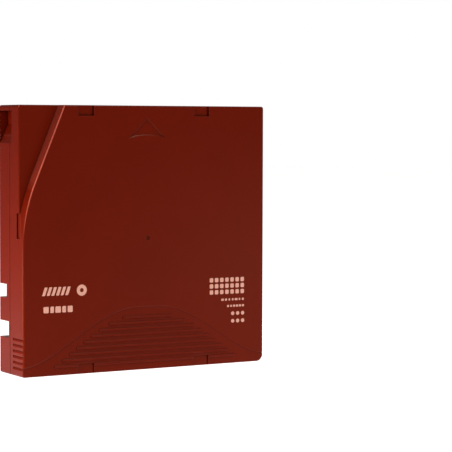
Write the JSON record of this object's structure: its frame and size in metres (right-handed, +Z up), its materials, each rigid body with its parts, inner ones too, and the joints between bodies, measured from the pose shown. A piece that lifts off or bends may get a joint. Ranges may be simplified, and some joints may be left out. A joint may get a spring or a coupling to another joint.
{
  "type": "data tape cartridge",
  "caption": "Flat rectangular cartridge for wide data tape: two moulded shells round a braked reel, with a sprung access door, a leader pin and a write-protect slide.",
  "frame": {"origin": "middle of the trailing face, on the surface that the cartridge stands on", "axes": "+X across the width towards the access door, +Y through the thickness towards the hub side, +Z up to the leading face"},
  "size_m": [0.1054, 0.0216, 0.102],
  "materials": {
    "case_shell": "satin dark red moulding",
    "screw_steel": "dark plated steel",
    "hub_plastic": "filled moulding, light grey",
    "flange_plastic": "clear grey moulding",
    "plate_steel": "stamped stainless steel",
    "tape_film": "wound film, near black",
    "pin_steel": "turned and polished",
    "clip_plastic": "moulded, black",
    "spring_steel": "spring steel",
    "brake_plastic": "natural acetal",
    "pad_plastic": "natural acetal",
    "door_plastic": "satin, charcoal",
    "slide_plastic": "satin, grey",
    "board_laminate": "green laminate",
    "chip_resin": "black resin",
    "antenna_copper": "etched copper"
  },
  "bodies": {
    "case": {"upper_shell": "case_shell", "lower_shell": "case_shell", "case_screws": "screw_steel", "tape_end": "tape_film", "leader_pin": "pin_steel", "tape_clip": "clip_plastic", "pin_spring": "spring_steel", "memory_board": "board_laminate", "memory_chip": "chip_resin", "memory_antenna": "antenna_copper", "brake_spring": "spring_steel", "door_spring": "spring_steel"},
    "reel": {"reel_hub": "hub_plastic", "upper_flange": "flange_plastic", "reel_plate": "plate_steel", "tape_pack": "tape_film"},
    "brake": {"brake_button": "brake_plastic"},
    "pad": {"release_pad": "pad_plastic"},
    "door": {"access_door": "door_plastic"},
    "write_protect": {"write_protect_slide": "slide_plastic"}
  },
  "joints": [
    {"name": "door_slide", "type": "slide", "parent": "case", "child": "door", "axis": [0, 0, -1], "range_m": [0, 0.0166], "stiffness_N_per_m": 40, "springref_m": -0.012, "deforming": ["door_spring"]},
    {"name": "reel_spin", "type": "hinge", "parent": "case", "child": "reel", "pos_m": [0, 0, 0.051], "axis": [0, 1, 0], "continuous": true},
    {"name": "brake_lift", "type": "slide", "parent": "case", "child": "brake", "axis": [0, -1, 0], "range_m": [0, 0.002], "stiffness_N_per_m": 800, "springref_m": -0.008, "deforming": ["brake_spring"]},
    {"name": "pad_press", "type": "slide", "parent": "reel", "child": "pad", "axis": [0, -1, 0], "range_m": [0, 0.002]},
    {"name": "write_protect_slide", "type": "slide", "parent": "case", "child": "write_protect", "axis": [1, 0, 0], "range_m": [0, 0.0045]}
  ],
  "couplings": [
    {"joint": "pad_press", "follows": "brake_lift", "ratio": 1}
  ]
}
